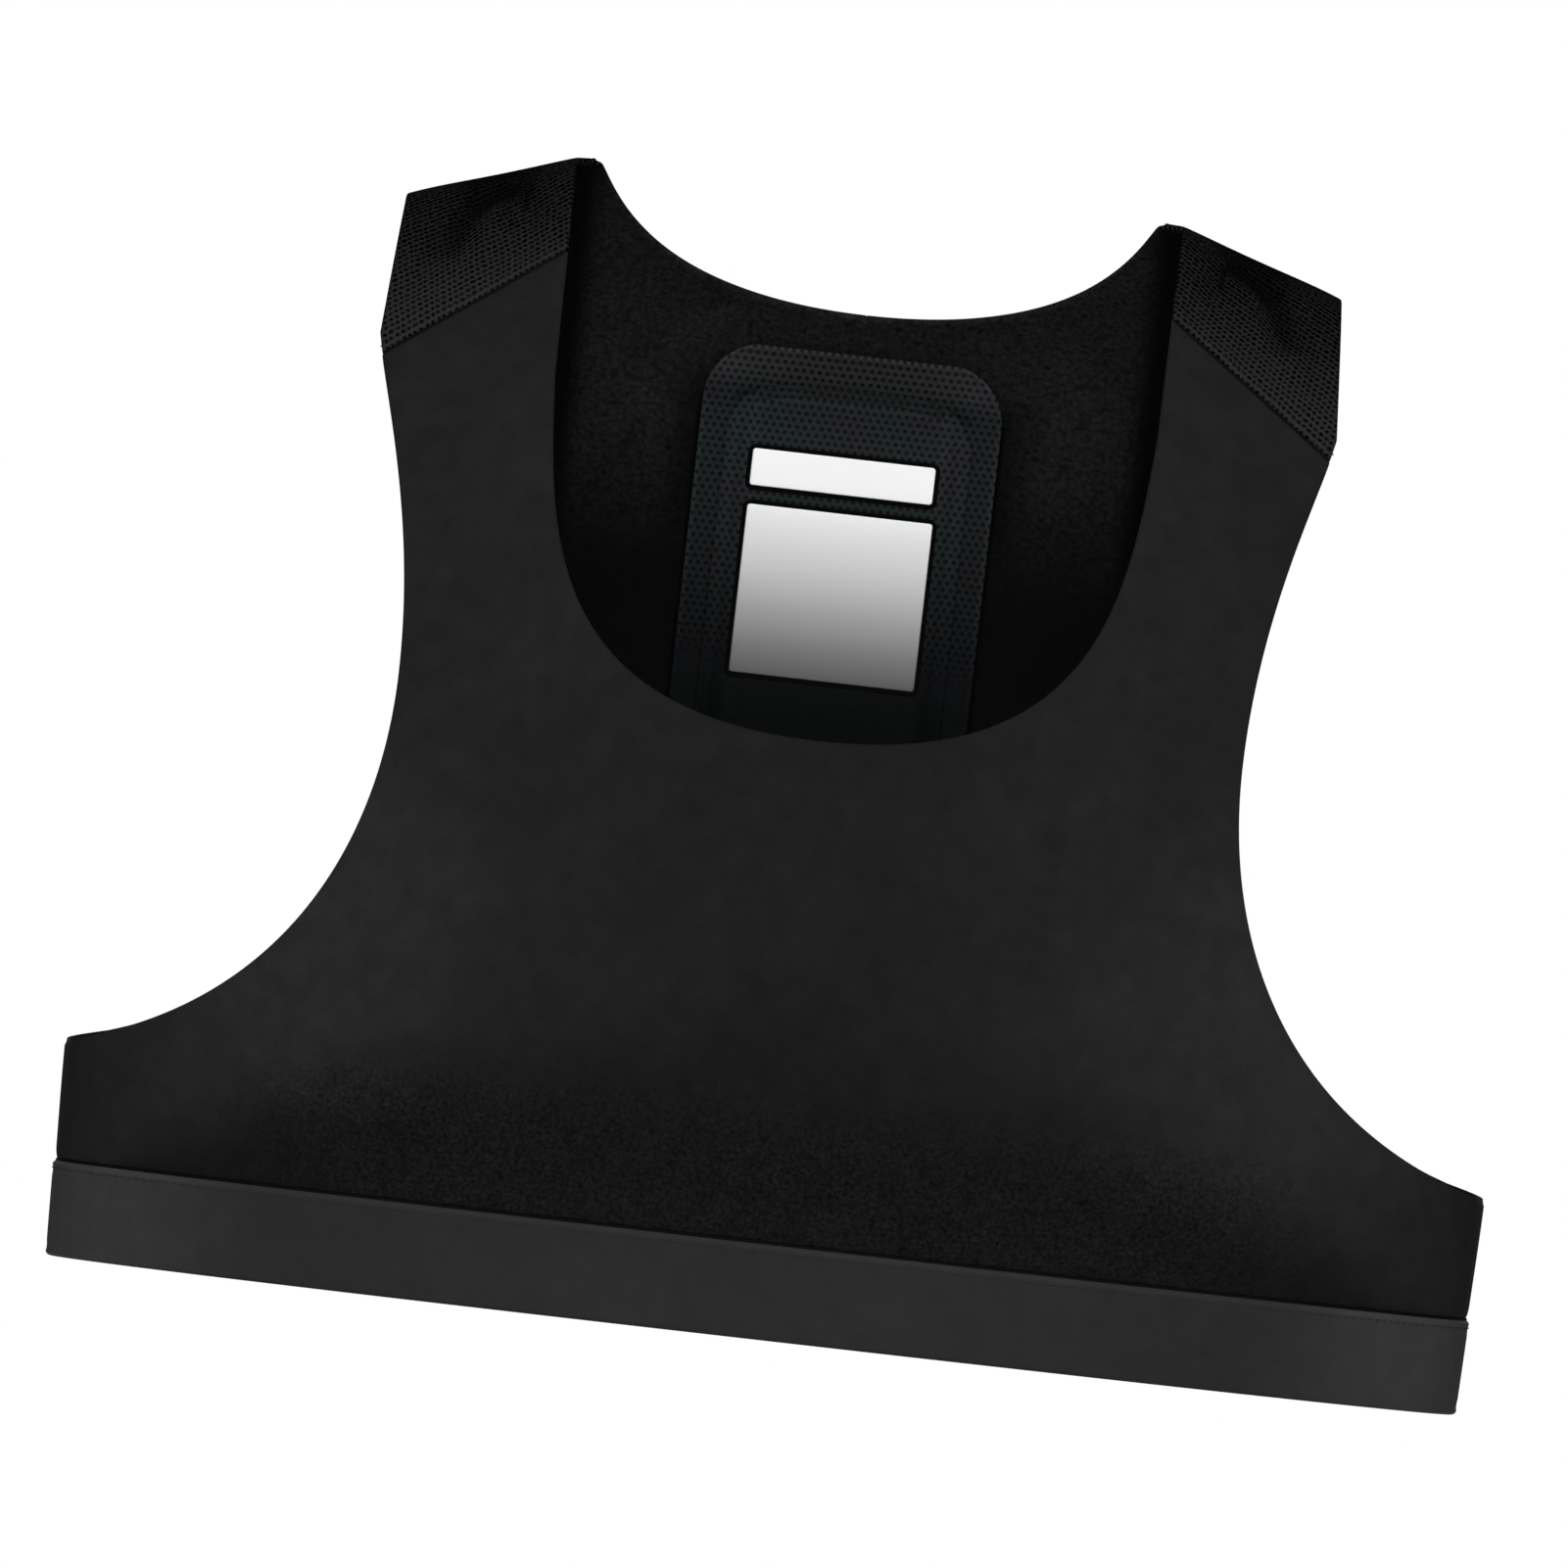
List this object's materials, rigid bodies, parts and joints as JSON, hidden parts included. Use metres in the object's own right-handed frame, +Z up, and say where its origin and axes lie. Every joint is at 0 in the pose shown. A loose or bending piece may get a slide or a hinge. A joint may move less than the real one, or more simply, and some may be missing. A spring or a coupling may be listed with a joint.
{
  "type": "gps tracker vest",
  "caption": "Cropped black stretch vest in its worn shape, with mesh shoulder yokes, an elastic underband and an open-topped tracker pocket inside the upper back.",
  "frame": {"origin": "on the vest's middle plane, level with the undersides of the two shoulder yokes at the top, midway between them, where the vest rests on a wearer's shoulders", "axes": "+Z up, +X to the wearer's left, the front faces -Y"},
  "size_m": [0.3748, 0.2142, 0.3021],
  "materials": {
    "knit": "matt black stretch knit",
    "yoke_mesh": "black perforated stretch mesh",
    "elastic": "matt charcoal woven elastic",
    "pocket_mesh": "black mesh with a blue-green tint",
    "white_print": "smooth bare white label",
    "grey_print": "smooth bare label, white shading to grey"
  },
  "bodies": {
    "root": {"front_panel": "knit", "back_panel": "knit", "left_yoke": "yoke_mesh", "right_yoke": "yoke_mesh", "underband": "elastic", "pocket_facing": "pocket_mesh", "pocket_pouch": "pocket_mesh", "label_strip": "white_print", "label_panel": "grey_print"}
  },
  "joints": []
}
